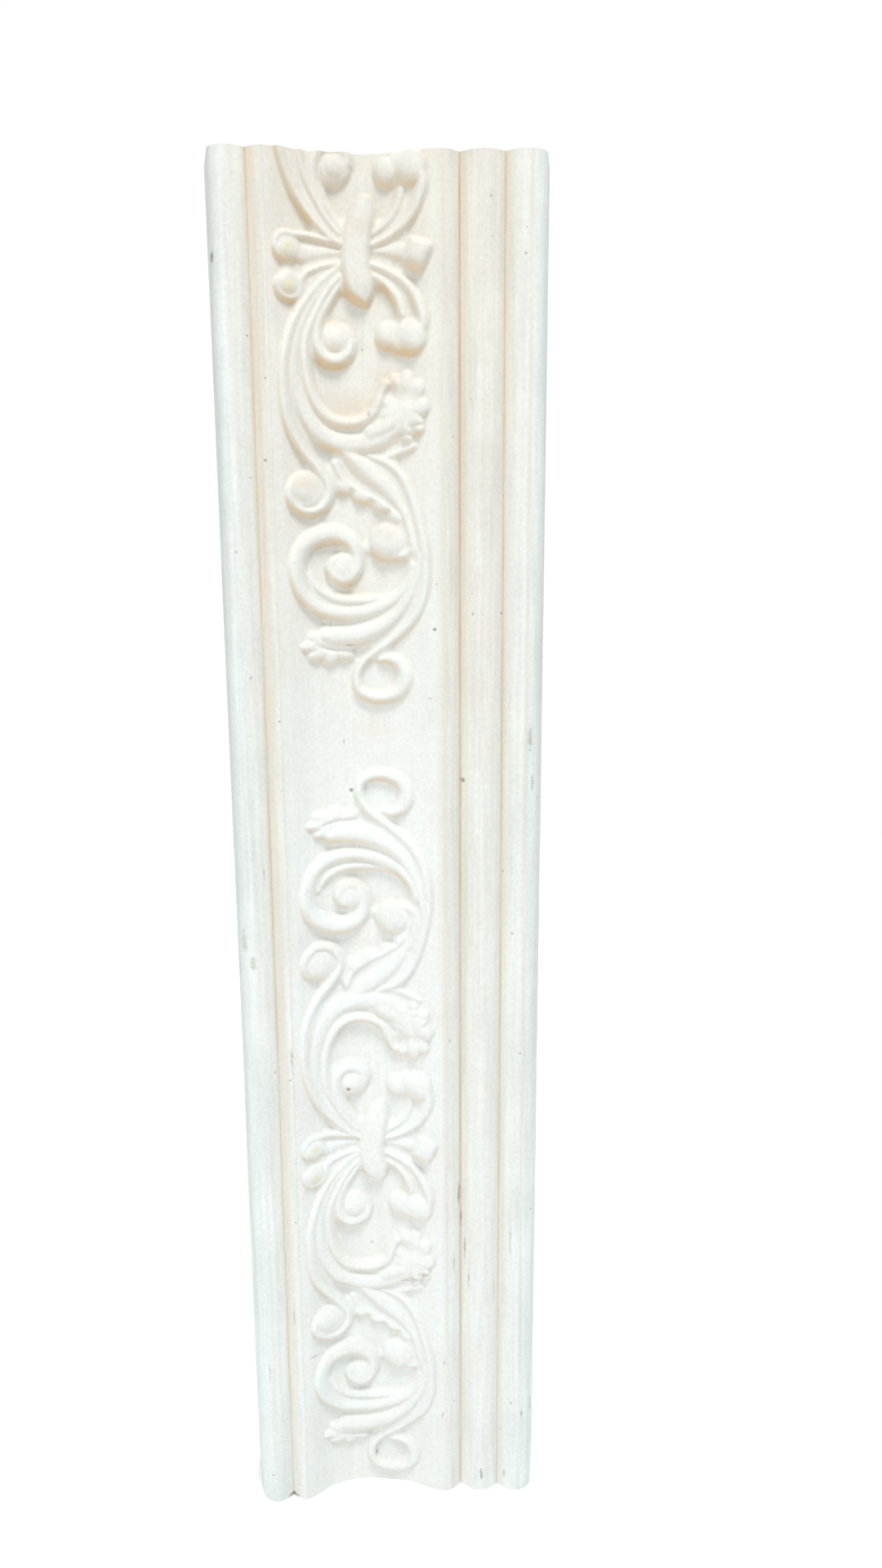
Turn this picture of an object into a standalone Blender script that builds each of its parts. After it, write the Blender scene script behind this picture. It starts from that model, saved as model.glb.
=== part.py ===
"""Crown moulding length: one cast plaster moulding with a scroll relief in its cove.

The moulding stands upright, its length along Z and its ornamented face towards -Y. The origin is the
middle of the flat back. X runs to the right, seen from the front.
"""

from itertools import pairwise
from math import ceil, cos, pi, radians, sin

import bmesh
import bpy
import numpy as np

# Overall sizes, in metres
LENGTH = 0.788
THICKNESS = 0.055
BACK_BEVEL = 0.0175
SIDE_FLARE = 0.0049

# Members of the face, from left to right, each measured from groove to groove or arris
LEFT_ROUND_WIDTH = 0.0194
LEFT_ARRIS_WIDTH = 0.0090
COVE_WIDTH = 0.0882
RIGHT_ARRIS_WIDTH = 0.0097
BEAD_WIDTH = 0.0232
RIGHT_ROUND_WIDTH = 0.0219
ROUND_EDGE_DEPTH = 0.0096

# Depths below the two outer rounds, which stand highest
LEFT_GROOVE_DEPTH = 0.0051
LEFT_ARRIS_DEPTH = 0.0005
COVE_DEPTH = 0.0155
RIGHT_ARRIS_DEPTH = 0.0024
INNER_GROOVE_DEPTH = 0.0085
BEAD_DEPTH = 0.0012
OUTER_GROOVE_DEPTH = 0.0064

# Where the highest line of each round stands, as a share of its width
LEFT_CREST = 0.51
BEAD_CREST = 0.55
RIGHT_CREST = 0.51
ROUND_FULLNESS = 1.8

# The cove as shares of its width and depth, steeper on the left than on the right
COVE_SHAPE = ((0.06, 0.21), (0.19, 0.74), (0.36, 0.99), (0.54, 0.955), (0.75, 0.71), (0.91, 0.27))

# The ornament: one repeat of the scroll, and where the first knot comes below the top end
REPEAT = 0.500
FIRST_KNOT = 0.0480

# The scroll is drawn in millimetres from the cove's centre line and from its knot, at this size
DRAWN_COVE = 88.2
DRAWN_REPEAT = 500.0
CORD_HEIGHT = 2.7
CORD_FULLNESS = 2.4
BAND_HEIGHT = 3.6
BAND_SHARE = 0.45
BAND_FULLNESS = 4.0
BUD_FULLNESS = 8.0
REACH_PAST_KNOT = 32.0

# The ornament stands lower towards the cove's edges: this share of its height is kept there
EDGE_HEIGHT = 0.7

# How finely the solid follows its curves
MEMBER_STEPS = 4
COVE_STEPS = 96
ROW_SPACING = 0.0010
RING_SPACING = 3.0
FACES_KEPT = 0.044

# Spare length that the square cuts take off, and the plaster's colour
END_WASTE = 0.004
PLASTER = (0.84, 0.83, 0.78, 1.0)

MM_ACROSS = COVE_WIDTH / DRAWN_COVE
MM_ALONG = REPEAT / DRAWN_REPEAT


def catmull_rom(points, spacing):
    """Points along a smooth curve through rows of numbers, the first two of which are places."""
    padded = [points[0], *points, points[-1]]
    rows = []
    for before, start, end, after in zip(padded, padded[1:], padded[2:], padded[3:]):
        reach = np.hypot(end[0] - start[0], end[1] - start[1])
        steps = max(1, round(reach / spacing))
        for step in range(steps):
            t = step / steps
            row = []
            for a, b, c, d in zip(before, start, end, after):
                square = 2 * a - 5 * b + 4 * c - d
                cube = 3 * b - a - 3 * c + d
                row.append(0.5 * (2 * b + (c - a) * t + square * t**2 + cube * t**3))
            rows.append(tuple(row))
    rows.append(tuple(points[-1]))
    return rows


def swell(crest, groove):
    """Points of one side of a round, from its crest to just before its groove."""
    points = []
    for step in range(MEMBER_STEPS):
        t = step / MEMBER_STEPS
        depth = crest[1] + (groove[1] - crest[1]) * t**ROUND_FULLNESS
        points.append((crest[0] + (groove[0] - crest[0]) * t, depth))
    return points


def quarter_round(crest, edge):
    """Points of the outer quarter of a round, from its crest to its edge."""
    points = []
    for step in range(MEMBER_STEPS + 1):
        angle = 0.5 * pi * step / MEMBER_STEPS
        across = crest[0] + (edge[0] - crest[0]) * sin(angle)
        points.append((across, crest[1] + (edge[1] - crest[1]) * (1 - cos(angle))))
    return points


def face_outline():
    """The moulded face from left to right, as (across, depth) from the left edge of the face."""
    left_groove = (LEFT_ROUND_WIDTH, LEFT_GROOVE_DEPTH)
    left_arris = (left_groove[0] + LEFT_ARRIS_WIDTH, LEFT_ARRIS_DEPTH)
    right_arris = (left_arris[0] + COVE_WIDTH, RIGHT_ARRIS_DEPTH)
    inner_groove = (right_arris[0] + RIGHT_ARRIS_WIDTH, INNER_GROOVE_DEPTH)
    bead = (inner_groove[0] + BEAD_WIDTH * BEAD_CREST, BEAD_DEPTH)
    outer_groove = (inner_groove[0] + BEAD_WIDTH, OUTER_GROOVE_DEPTH)
    left_crest = (LEFT_ROUND_WIDTH * LEFT_CREST, 0.0)
    right_crest = (outer_groove[0] + RIGHT_ROUND_WIDTH * RIGHT_CREST, 0.0)
    right_edge = (outer_groove[0] + RIGHT_ROUND_WIDTH, ROUND_EDGE_DEPTH)
    cove = [left_arris]
    cove += [(left_arris[0] + COVE_WIDTH * a, COVE_DEPTH * d) for a, d in COVE_SHAPE]
    cove += [right_arris]
    outline = quarter_round(left_crest, (0.0, ROUND_EDGE_DEPTH))[::-1]
    outline += swell(left_crest, left_groove)[1:] + [left_groove]
    outline += swell(left_arris, left_groove)[:0:-1]
    outline += catmull_rom(cove, COVE_WIDTH / COVE_STEPS)
    outline += swell(right_arris, inner_groove)[1:] + [inner_groove]
    outline += swell(bead, inner_groove)[:0:-1]
    outline += swell(bead, outer_groove) + [outer_groove]
    outline += swell(right_crest, outer_groove)[:0:-1]
    outline += quarter_round(right_crest, right_edge)
    return outline


FACE = face_outline()
FACE_MIDDLE = 0.5 * (FACE[0][0] + FACE[-1][0])
COVE_MIDDLE = LEFT_ROUND_WIDTH + LEFT_ARRIS_WIDTH + 0.5 * COVE_WIDTH - FACE_MIDDLE


def section():
    """The closed cross section, as (x, y) with the flat back on y = 0."""
    wide = FACE[-1][0] - FACE_MIDDLE + SIDE_FLARE
    front = [(x - FACE_MIDDLE, d - THICKNESS) for x, d in FACE]
    back = [(wide, -BACK_BEVEL), (wide - BACK_BEVEL, 0.0)]
    return front + back + [(-x, y) for x, y in reversed(back)]


class Scroll:
    """Raises the drawn pieces of the ornament around one knot, downwards or mirrored upwards."""

    def __init__(self, places, heights, knot, way):
        along = way * (0.5 * LENGTH - places[:, 2] - knot) / MM_ALONG
        near = np.flatnonzero((along > -REACH_PAST_KNOT) & (along < 0.5 * DRAWN_REPEAT))
        self.near = near[np.argsort(along[near], kind="stable")]
        self.across = (places[self.near, 0] - COVE_MIDDLE) / MM_ACROSS
        self.along = along[self.near]
        self.heights = heights

    def window(self, low, high):
        """The places between two distances from the knot."""
        first, last = np.searchsorted(self.along, (low, high))
        return slice(first, last), self.across[first:last], self.along[first:last]

    def raise_to(self, window, height):
        """Lifts the ground in a window to these heights in millimetres wherever it is lower."""
        at = self.near[window]
        self.heights[at] = np.maximum(self.heights[at], height * MM_ACROSS)

    def stem(self, points, curl_rows=(), band=False):
        """A strand through rows of (across, along, half width), going on into a curl where one is given."""
        for start, end in pairwise(catmull_rom(points, RING_SPACING) + list(curl_rows)):
            (a0, b0, r0), (a1, b1, r1) = start, end
            wide = max(r0, r1)
            window, across, along = self.window(min(b0, b1) - wide, max(b0, b1) + wide)
            step_a, step_b = a1 - a0, b1 - b0
            past_a, past_b = across - a0, along - b0
            t = (past_a * step_a + past_b * step_b) / (step_a**2 + step_b**2)
            t = np.clip(t, 0.0, 1.0)
            half = r0 + (r1 - r0) * t
            distance = np.hypot(past_a - t * step_a, past_b - t * step_b) / half
            height, fullness = CORD_HEIGHT + half, CORD_FULLNESS
            if band:
                height, fullness = BAND_HEIGHT + BAND_SHARE * half, BAND_FULLNESS
            self.raise_to(window, height * (1.0 - np.minimum(distance, 1.0) ** fullness))

    def boss(self, across, along, half_across, half_along, height):
        """A rounded boss of a height in millimetres."""
        window, a, b = self.window(along - half_along, along + half_along)
        share = ((a - across) / half_across) ** 2 + ((b - along) / half_along) ** 2
        self.raise_to(window, height * np.sqrt(np.maximum(1.0 - share, 0.0)))

    def block(self, across, along, half_across, half_along, height, turn):
        """A square bud with worn corners, turned by some degrees."""
        reach = half_across + half_along
        window, a, b = self.window(along - reach, along + reach)
        c, s = cos(radians(turn)), sin(radians(turn))
        side = np.abs(((a - across) * c + (b - along) * s) / half_across)
        end = np.abs(((b - along) * c - (a - across) * s) / half_along)
        inside = np.minimum(side**BUD_FULLNESS + end**BUD_FULLNESS, 1.0)
        self.raise_to(window, height * (1.0 - inside))


def curl(centre, start_radii, end_radii, start, sweep, start_half, end_half):
    """Rows of a curl about its centre. Angles are in degrees, from across and turning towards along."""
    mean = 0.25 * (sum(start_radii) + sum(end_radii))
    steps = max(4, round(abs(radians(sweep)) * mean / RING_SPACING))
    rows = []
    for step in range(1, steps + 1):
        t = step / steps
        angle = radians(start + sweep * t)
        across = centre[0] + (start_radii[0] + (end_radii[0] - start_radii[0]) * t) * cos(angle)
        along = centre[1] + (start_radii[1] + (end_radii[1] - start_radii[1]) * t) * sin(angle)
        rows.append((across, along, start_half + (end_half - start_half) * t))
    return rows


def right_stems(scroll):
    """The two stems that end in the double ball."""
    scroll.stem([(9, 4, 2.2), (19, 9, 2.6), (27, 15, 2.8), (32, 22.5, 2.9), (36, 33, 3), (36, 43, 2.4)])
    scroll.stem([(9, 10, 2), (17.5, 16, 2.4), (22.5, 22.5, 2.5), (26, 31, 2.5)])
    scroll.boss(16, 39, 7.6, 8.4, 6.8)
    scroll.boss(28.5, 40.5, 9.2, 9.8, 7.8)


def left_bundle(scroll):
    """The strands that leave the knot together and part into curls and the open flower."""
    outer = [(-7, 5, 1.8), (-18.5, 14.5, 2.4), (-28.5, 28, 2.6), (-34, 42, 2.8), (-37, 57, 2.9)]
    outer += [(-36, 77, 2.9), (-32, 90, 3), (-26, 100, 3.4)]
    scroll.stem(outer, curl((-25.5, 119), (13, 13), (11, 11), -62, 285, 3.5, 2.6))
    scroll.boss(-27, 118.5, 8.8, 8.8, 6.8)
    middle = [(-7, 7.5, 1.8), (-16.5, 16, 2.3), (-24.5, 28, 2.6), (-29.7, 41, 2.9), (-31.7, 54, 3.2)]
    middle += [(-30, 66, 4.2), (-26, 78, 5.0), (-19, 86.5, 5.4), (-9, 91, 5.6), (3, 91.5, 5.6), (14, 88.5, 5)]
    scroll.stem(middle, band=True)
    inner = [(-7, 10, 1.8), (-13.5, 17, 2.2), (-20.5, 29, 2.5), (-25, 40, 2.6), (-26, 50, 2.7)]
    inner += [(-24.5, 64, 3), (-20, 75, 3.3), (-13, 81.5, 3.5), (-5, 84, 3.6), (3, 82.5, 3.8)]
    inner += [(8, 76.5, 4), (8.5, 70, 3.2)]
    scroll.stem(inner)
    eye = [(-6, 12, 1.8), (-12, 20.5, 2.4), (-17.5, 30, 2.8)]
    scroll.stem(eye, curl((-8.5, 41.5), (12.5, 12.5), (9.5, 9.5), 170, -255, 3.2, 2.2))
    scroll.boss(-8, 40.5, 8.6, 8.6, 7.2)


def flower(scroll):
    """The open flower at the end of the bundle: round petals about a hollow, with a lip below."""
    rim = [(4.5, 77, 3.2), (8, 68, 4), (13.5, 62.5, 4), (21, 61, 4), (28, 65, 4), (31, 73, 4), (30.5, 84, 4)]
    scroll.stem(rim)
    scroll.boss(20, 77, 11, 12, 4.0)
    petals = ((14.5, 61, 5.6), (21.5, 59.5, 5), (29, 62.5, 6.4), (32.5, 74, 6.4), (31.5, 86, 6.8))
    for across, along, half in petals:
        scroll.boss(across, along, half, half, 6.2)
    scroll.stem([(8, 97.5, 1.6), (18, 97, 2.4), (27, 93, 3)])


def pod_leaf(scroll):
    """The leaf that leaves the flower on the way to the lower curls, with its waved lower edge."""
    leaf = [(-3.5, 98, 7), (2.5, 106, 7.6), (9.5, 113, 6.6), (17, 119.5, 4.6), (24.5, 130, 2)]
    scroll.stem(leaf, band=True)
    for across, along, half in ((-6.5, 114.5, 5), (3.5, 120.5, 5), (13, 126, 4)):
        scroll.boss(across, along, half, half, 4.0)


def lower_curls(scroll):
    """The long right arc, its forked ball, the large spiral, and the tail that curls at the mirror line."""
    arc = [(6, 99, 1.8), (16, 103.5, 2.4), (23, 112, 2.6), (27, 121, 2.8), (30, 131, 3), (33, 141, 3)]
    arc += [(35.5, 152, 3), (35.5, 166, 3), (31.5, 179, 3), (25, 188.5, 3), (15, 198, 2.8), (4, 206, 2.5)]
    scroll.stem(arc, curl((12.8, 218), (15.5, 13), (13, 11), 195, -290, 2.5, 4.0))
    scroll.stem([(24, 120, 2.2), (26.5, 133, 2.5), (25.5, 143, 2.4), (21, 151, 2)])
    scroll.boss(15.5, 146, 10, 10.6, 7.8)
    start = [(24, 159, 2), (19.5, 168, 2.6), (12, 176, 3.2), (1, 181.5, 3.8), (-13, 183.5, 4.3)]
    scroll.stem(start, curl((-11, 156.5), (26, 26), (9.5, 9.5), 128, 325, 4.7, 2.4))
    scroll.boss(-10.5, 157, 8.4, 8.4, 7.2)


def lower_pod(scroll):
    """The fat pod under the spiral, with three round lobes at its end."""
    pod = [(28, 168, 2), (24.5, 176, 3), (17, 185, 4.2), (6, 192, 5.6), (-6, 195.5, 6.6), (-18, 195.5, 6)]
    scroll.stem(pod, band=True)
    lobes = ((-25.5, 193.5, 7, 8.4), (-22, 203.5, 7.4, 6), (-10, 205, 8, 5.6), (2, 202, 7, 4.2))
    for across, along, half_across, half_along in lobes:
        scroll.boss(across, along, half_across, half_along, 4.8)


def knot_group(scroll):
    """The strap over the knot, the two small eyed curls, the darts and the square bud."""
    scroll.stem([(5.5, -24.5, 5), (1.5, -13, 6.8), (0, -1, 7.4), (1.5, 12, 6.8), (4.5, 23, 2)], band=True)
    scroll.stem([(-6, -5, 2), (-16, -7, 2.2), (-27, -9.5, 2.4), (-33, -8, 2.6)])
    scroll.boss(-33.5, -3, 7.2, 7.6, 6.8)
    lower = curl((-34, 15.3), (7.5, 7.5), (6.2, 6.2), 20, 130, 2.4, 2.2)
    scroll.stem([(-6, 3, 2), (-16, 5.5, 2.2), (-24, 10, 2.4)], lower)
    scroll.boss(-34, 15.3, 7, 7.2, 6.8)
    scroll.stem([(-6, -1.5, 2), (-17, -1, 3.8), (-27, 1, 5.6)], band=True)
    scroll.stem([(7, -1.5, 2.2), (16, -1, 4.2), (25, 0.5, 6)], band=True)
    scroll.block(31.5, 0.5, 7.4, 9.2, 8.4, 12)


def half_motif(scroll):
    right_stems(scroll)
    left_bundle(scroll)
    flower(scroll)
    pod_leaf(scroll)
    lower_curls(scroll)
    lower_pod(scroll)


def raise_relief(mesh):
    """Lifts the cove's ground into the ornament, as far as it comes within the length."""
    places = np.empty(len(mesh.vertices) * 3)
    mesh.vertices.foreach_get("co", places)
    places = places.reshape(-1, 3)
    depth = places[:, 1] + THICKNESS
    in_cove = np.abs(places[:, 0] - COVE_MIDDLE) < 0.5 * COVE_WIDTH
    cove = np.flatnonzero(in_cove & (depth < 2 * COVE_DEPTH))
    heights = np.zeros(len(cove))
    for number in range(-1, ceil((LENGTH - FIRST_KNOT) / REPEAT) + 1):
        knot = FIRST_KNOT + number * REPEAT
        for way in (1, -1):
            half_motif(Scroll(places[cove], heights, knot, way))
        knot_group(Scroll(places[cove], heights, knot, 1))
    places[cove, 1] -= heights * (EDGE_HEIGHT + (1.0 - EDGE_HEIGHT) * depth[cove] / COVE_DEPTH)
    mesh.vertices.foreach_set("co", places.ravel())


def drawn_out(outline):
    """The section drawn out along the length in even steps, with its two ends closed."""
    long = LENGTH + 2 * END_WASTE
    ring = bpy.data.meshes.new("section")
    corners = [(x, y, -0.5 * long) for x, y in outline]
    ring.from_pydata(corners, [(i, (i + 1) % len(corners)) for i in range(len(corners))], [])
    former = bpy.data.objects.new("section", ring)
    bpy.context.scene.collection.objects.link(former)
    sweep = former.modifiers.new("Length", "SCREW")
    sweep.angle = 0.0
    sweep.screw_offset = long
    sweep.steps = sweep.render_steps = ceil(long / ROW_SPACING)
    graph = bpy.context.evaluated_depsgraph_get()
    mesh = bpy.data.meshes.new_from_object(former.evaluated_get(graph))
    bpy.data.objects.remove(former)
    work = bmesh.new()
    work.from_mesh(mesh)
    bmesh.ops.holes_fill(work, edges=[edge for edge in work.edges if edge.is_boundary])
    bmesh.ops.recalc_face_normals(work, faces=work.faces)
    work.to_mesh(mesh)
    work.free()
    return mesh


def moulding(collection):
    """The moulding, with the ornament raised in its cove and even facets all over."""
    mesh = drawn_out(section())
    raise_relief(mesh)
    mesh.shade_smooth()
    obj = bpy.data.objects.new("crown_moulding", mesh)
    collection.objects.link(obj)
    thinning = obj.modifiers.new("Even facets", "DECIMATE")
    thinning.ratio = FACES_KEPT
    return obj


def end_cutter(name, side, collection):
    """A block that cuts one end square."""
    wide = 2 * (FACE[-1][0] + 2 * SIDE_FLARE)
    bpy.ops.mesh.primitive_cube_add(size=1.0)
    cutter = bpy.context.object
    cutter.name = name
    cutter.scale = (wide, 4 * THICKNESS, 4 * END_WASTE)
    cutter.location = (0.0, -0.5 * THICKNESS, side * (0.5 * LENGTH + 2 * END_WASTE))
    for owner in list(cutter.users_collection):
        owner.objects.unlink(cutter)
    collection.objects.link(cutter)
    cutter.hide_render = True
    cutter.display_type = "WIRE"
    return cutter


def plaster():
    material = bpy.data.materials.new("Cast plaster")
    material.use_nodes = True
    shader = material.node_tree.nodes["Principled BSDF"]
    shader.inputs["Base Color"].default_value = PLASTER
    shader.inputs["Roughness"].default_value = 0.85
    shader.inputs["Metallic"].default_value = 0.0
    return material


def main():
    for obj in list(bpy.data.objects):
        bpy.data.objects.remove(obj)
    parts = bpy.data.collections.new("Crown moulding length")
    cutters = bpy.data.collections.new("Cutters")
    bpy.context.scene.collection.children.link(parts)
    bpy.context.scene.collection.children.link(cutters)
    body = moulding(parts)
    body.data.materials.append(plaster())
    for name, side in (("top_end", 1), ("bottom_end", -1)):
        cut = body.modifiers.new(name, "BOOLEAN")
        cut.operation = "DIFFERENCE"
        cut.solver = "EXACT"
        cut.object = end_cutter(name, side, cutters)


main()
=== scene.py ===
"""Looks of a crown moulding length: one cast plaster moulding with a scroll relief in its cove."""

from itertools import pairwise
from math import ceil, cos, hypot, pi, radians, sin

import bmesh
import bpy
import numpy as np
from bpy.props import FloatProperty, FloatVectorProperty, PointerProperty
from mathutils import Matrix, Vector


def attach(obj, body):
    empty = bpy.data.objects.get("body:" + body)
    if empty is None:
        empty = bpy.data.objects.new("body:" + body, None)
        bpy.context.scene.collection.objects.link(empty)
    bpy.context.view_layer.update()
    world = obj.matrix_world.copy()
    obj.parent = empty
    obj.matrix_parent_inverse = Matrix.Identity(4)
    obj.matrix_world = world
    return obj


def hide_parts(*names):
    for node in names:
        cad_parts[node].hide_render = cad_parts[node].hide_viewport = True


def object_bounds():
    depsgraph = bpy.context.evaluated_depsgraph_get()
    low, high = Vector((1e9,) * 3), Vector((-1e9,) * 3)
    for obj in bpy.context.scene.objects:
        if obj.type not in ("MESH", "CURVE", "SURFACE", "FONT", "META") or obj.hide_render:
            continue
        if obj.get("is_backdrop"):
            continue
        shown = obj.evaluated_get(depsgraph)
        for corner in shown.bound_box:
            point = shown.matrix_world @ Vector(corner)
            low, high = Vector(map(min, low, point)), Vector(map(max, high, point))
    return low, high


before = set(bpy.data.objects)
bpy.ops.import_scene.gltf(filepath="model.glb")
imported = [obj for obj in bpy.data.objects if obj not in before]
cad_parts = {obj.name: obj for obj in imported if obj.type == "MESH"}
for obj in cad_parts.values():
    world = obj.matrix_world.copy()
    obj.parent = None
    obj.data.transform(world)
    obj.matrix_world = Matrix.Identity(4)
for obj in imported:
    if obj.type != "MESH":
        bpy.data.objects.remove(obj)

bl_info = {
    "name": "Crown moulding length",
    "version": (1, 0, 0),
    "blender": (4, 5, 0),
    "location": "3D View > Sidebar > Moulding",
    "description": "A cast plaster crown moulding with a scroll relief in its cove",
    "category": "Add Mesh",
}

CAD_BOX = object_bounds()
NODE = "crown_moulding"
MM = 0.001


def linear(hex_colour):
    """An sRGB hex colour as linear red, green and blue."""
    values = [int(hex_colour[i:i + 2], 16) / 255 for i in (1, 3, 5)]
    return [v / 12.92 if v <= 0.04045 else ((v + 0.055) / 1.055) ** 2.4 for v in values]


class MouldingSizes(bpy.types.PropertyGroup):
    """Sizes of the moulding that a user would change."""

    length: FloatProperty(
        name="Length",
        description="Length between the two square ends",
        default=CAD_BOX[1].z - CAD_BOX[0].z,
        unit="LENGTH",
    )
    thickness: FloatProperty(
        name="Thickness",
        description="From the flat back to the crests of the two outer rounds",
        default=0.055,
        unit="LENGTH",
    )
    repeat: FloatProperty(
        name="Repeat",
        description="Length of one repeat of the scroll, from knot to knot",
        default=0.500,
        unit="LENGTH",
    )
    first_knot: FloatProperty(
        name="First knot",
        description="How far the first knot comes below the top end",
        default=0.048,
        unit="LENGTH",
    )


class MouldingColours(bpy.types.PropertyGroup):
    """Colours of the plaster."""

    plaster: FloatVectorProperty(
        name="Plaster",
        description="Colour of the clean cast plaster",
        default=linear("#EDF0ED"),
        subtype="COLOR",
    )
    # Painted shade: warm in the grooves, in the hollows of the relief and on its sides that face down and
    # left, with some dust
    shade_and_dust: FloatVectorProperty(
        name="Recess",
        description="Warm painted shade and dust that lies in the grooves and round the foot of the relief",
        default=linear("#D3BE9F"),
        subtype="COLOR",
    )
    # Darker and warmer towards the top end
    top_tone: FloatVectorProperty(
        name="Plaster near the top",
        description="Colour of the plaster towards the top end, where it has yellowed a little",
        default=linear("#DCD8CC"),
        subtype="COLOR",
    )
    eye: FloatVectorProperty(
        name="Eye",
        description="Yellow size left in the eyes of the small curls",
        default=linear("#E6DFA8"),
        subtype="COLOR",
    )
    # Painted shade in the air holes and chips, and grime in the streaks
    pit_shade_and_dirt: FloatVectorProperty(
        name="Grime and painted pit shade",
        description="Dirt in the air holes, chips and streaks",
        default=linear("#7C7466"),
        subtype="COLOR",
    )
    outer: FloatVectorProperty(
        name="Outer sides",
        description="Cooler colour of the plain outer members",
        default=linear("#E6EFEE"),
        subtype="COLOR",
    )


# Camera, fitted to the photograph
CAMERA_PLACE = (-0.0061140, -0.6911534, 0.2119787)
CAMERA_RIGHT = (0.998374, -0.056823, -0.004334)
CAMERA_UP = (0.016520, 0.215799, 0.976302)
CAMERA_BACK = (-0.054541, -0.974786, 0.216387)
CAMERA_LENS = 27.0375
CAMERA_SENSOR = 36.0

# Studio light: each lamp's name, place and size in metres, and power in watts
LIGHTS = (
    ("key", (0.3, -1.05, 2.1), 0.6, 33.0),
    ("fill", (-1.5, -1.5, 0.1), 1.6, 12.0),
    ("back", (0.2, 2.2, 1.8), 2.4, 60.0),
)
SURROUND_LIGHT = 0.44
SURROUND_SEEN = 1.02
FLOOR_HALF_WIDTH = 3.0
FLOOR_NEAR = -2.5
FLOOR_DEPTH = 4.0
FLOOR_GLOW = 0.06
FLOOR_ROUGHNESS = 0.9
NEAREST_SEEN = 0.01

# Members of the face from left to right, in millimetres, as in the solid
LEFT_ROUND_WIDTH = 19.4
LEFT_ARRIS_WIDTH = 9.0
COVE_WIDTH = 88.2
RIGHT_ARRIS_WIDTH = 9.7
BEAD_WIDTH = 23.2
RIGHT_ROUND_WIDTH = 21.9
ROUND_EDGE_DEPTH = 9.6
LEFT_GROOVE_DEPTH = 5.1
LEFT_ARRIS_DEPTH = 0.5
COVE_DEPTH = 15.5
RIGHT_ARRIS_DEPTH = 2.4
INNER_GROOVE_DEPTH = 8.5
BEAD_DEPTH = 1.2
OUTER_GROOVE_DEPTH = 6.4
LEFT_CREST = 0.51
BEAD_CREST = 0.55
RIGHT_CREST = 0.51
ROUND_FULLNESS = 1.8
COVE_SHAPE = ((0.06, 0.21), (0.19, 0.74), (0.36, 0.99), (0.54, 0.955), (0.75, 0.71), (0.91, 0.27))
SIDE_FLARE = 4.9
BACK_BEVEL = 17.5

# How closely the mesh follows the face, and the share of its faces kept
MEMBER_STEPS = 11
COVE_SPACING = 0.62
ROW_SPACING = 0.66
MOST_TRIANGLES = 196000

# The relief is drawn in millimetres from the face's middle and from a knot, at this repeat
DRAWN_REPEAT = 506.0
PITCH = 0.4
REACH = 0.5 * DRAWN_REPEAT
CORD_FULLNESS = 2.3
BUD_FULLNESS = 4.5
EDGE_HEIGHT = 0.7
RING_SPACING = 1.6
SOFTENING = 0.6
GAP_RADIUS = 2.0
GAP_SHARE = 0.66
# A strand's least height as a share of its full height, and how fast it rises as the strand widens
NARROW_HEIGHT = 0.45
NARROW_POWER = 0.7
# A shell's rim at its notches, how much further its lobes reach, and the depth of its flutes
RIM_NOTCH = 0.83
RIM_LOBE = 0.20
FLUTE_DEPTH = 0.30
# How much the bud's top falls towards its foot, from where, and towards its side
BUD_FOOT_FALL = 0.30
BUD_FALL_FROM = 0.25
BUD_SIDE_FALL = 0.12

# Where painted shade, with some dust, lies on the relief, in drawn millimetres: in its hollows, and on
# slopes that face down or left, away from the key light
HOLLOW_REACH = 1.0
HOLLOW_DEPTH = 2.0
MOST_HOLLOW_SHADE = 0.35
SLOPE_REACH = 0.6
DOWN_SHARE = 0.75
LEFT_SHARE = 0.25
STEEPEST_LEFT = 0.6
SLOPE_WITHOUT_SHADE = 0.12
SLOPE_SHADE = 1.15
SLOPE_SOFTENING = 0.5
# Where the outer members' colour starts and how far it blends in, from the middle, in millimetres
OUTER_FROM = 60.0
OUTER_BLEND = 20.0
# Where the darker, warmer tone towards the top end is full, above the first knot, and how far below that it
# fades, in drawn millimetres
TOP_TONE_ABOVE = 48.0
TOP_TONE_LENGTH = 370.0
COVE_DRAG = 0.25

# Sizes of the patterns in the plaster, in millimetres
CLOUD_SIZE = 31.25
DRAG_SIZE = 3.03
DRAG_STRETCH = (1.0, 0.4, 0.035)
SPECK_SIZE = 2.174
WANDER_SIZE = 2.381
HOLE_SPACING = 9.524
GRAIN_SIZE = 1.923
GRAIN_DEPTH = 0.5
DRAG_DEPTH = 0.8
PLASTER_ROUGHNESS = 0.82
PLASTER_SHINE = 0.35
# How far a spot's rim wanders, and where it fades out, in shares of its half sizes
SPOT_WANDER = 1.6
SPOT_FADE = (0.95, 1.8)
PATCH_FADE = (0.0, 1.5)
# How strong the eyes and the small air holes show
EYE_STRENGTH = 0.55
HOLE_STRENGTH = 0.45
# An air hole's size as a share of the spacing, and the share of places that have none
HOLE_SHARE = 0.075
HOLE_RARITY = 0.72
# Painted shade, dust, grime and the darker top tone are painted on what lies in front of this depth
FRONT_DEPTH = -20.0

# The yellow eyes of the small curls: across and up from the middle of the piece
EYES = ((-46.4, 348), (-46.4, 330.2), (-46.4, -152), (-46.4, -169.8))
EYE_HALVES = (3.2, 3.4)
# Broad warm patches of painted shade on the relief: across, up, half width, half height and strength
SHADE_PATCHES = (
    (-16, 272, 13, 9, 0.42), (3, 285, 8, 7, 0.45), (-41.5, 233, 8, 5, 0.4), (4, 301, 9, 3.4, 0.3),
    (-25, 314, 9, 3, 0.3), (-9, 359, 8, 5, 0.35), (-16, 178, 12, 8, 0.22), (2, 208, 9, 6, 0.25),
    (-8, 100, 13, 8, 0.16), (-22, 12, 9, 6, 0.25), (0, -2, 8, 6, 0.2), (-14, -26, 12, 5, 0.18),
)
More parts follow.
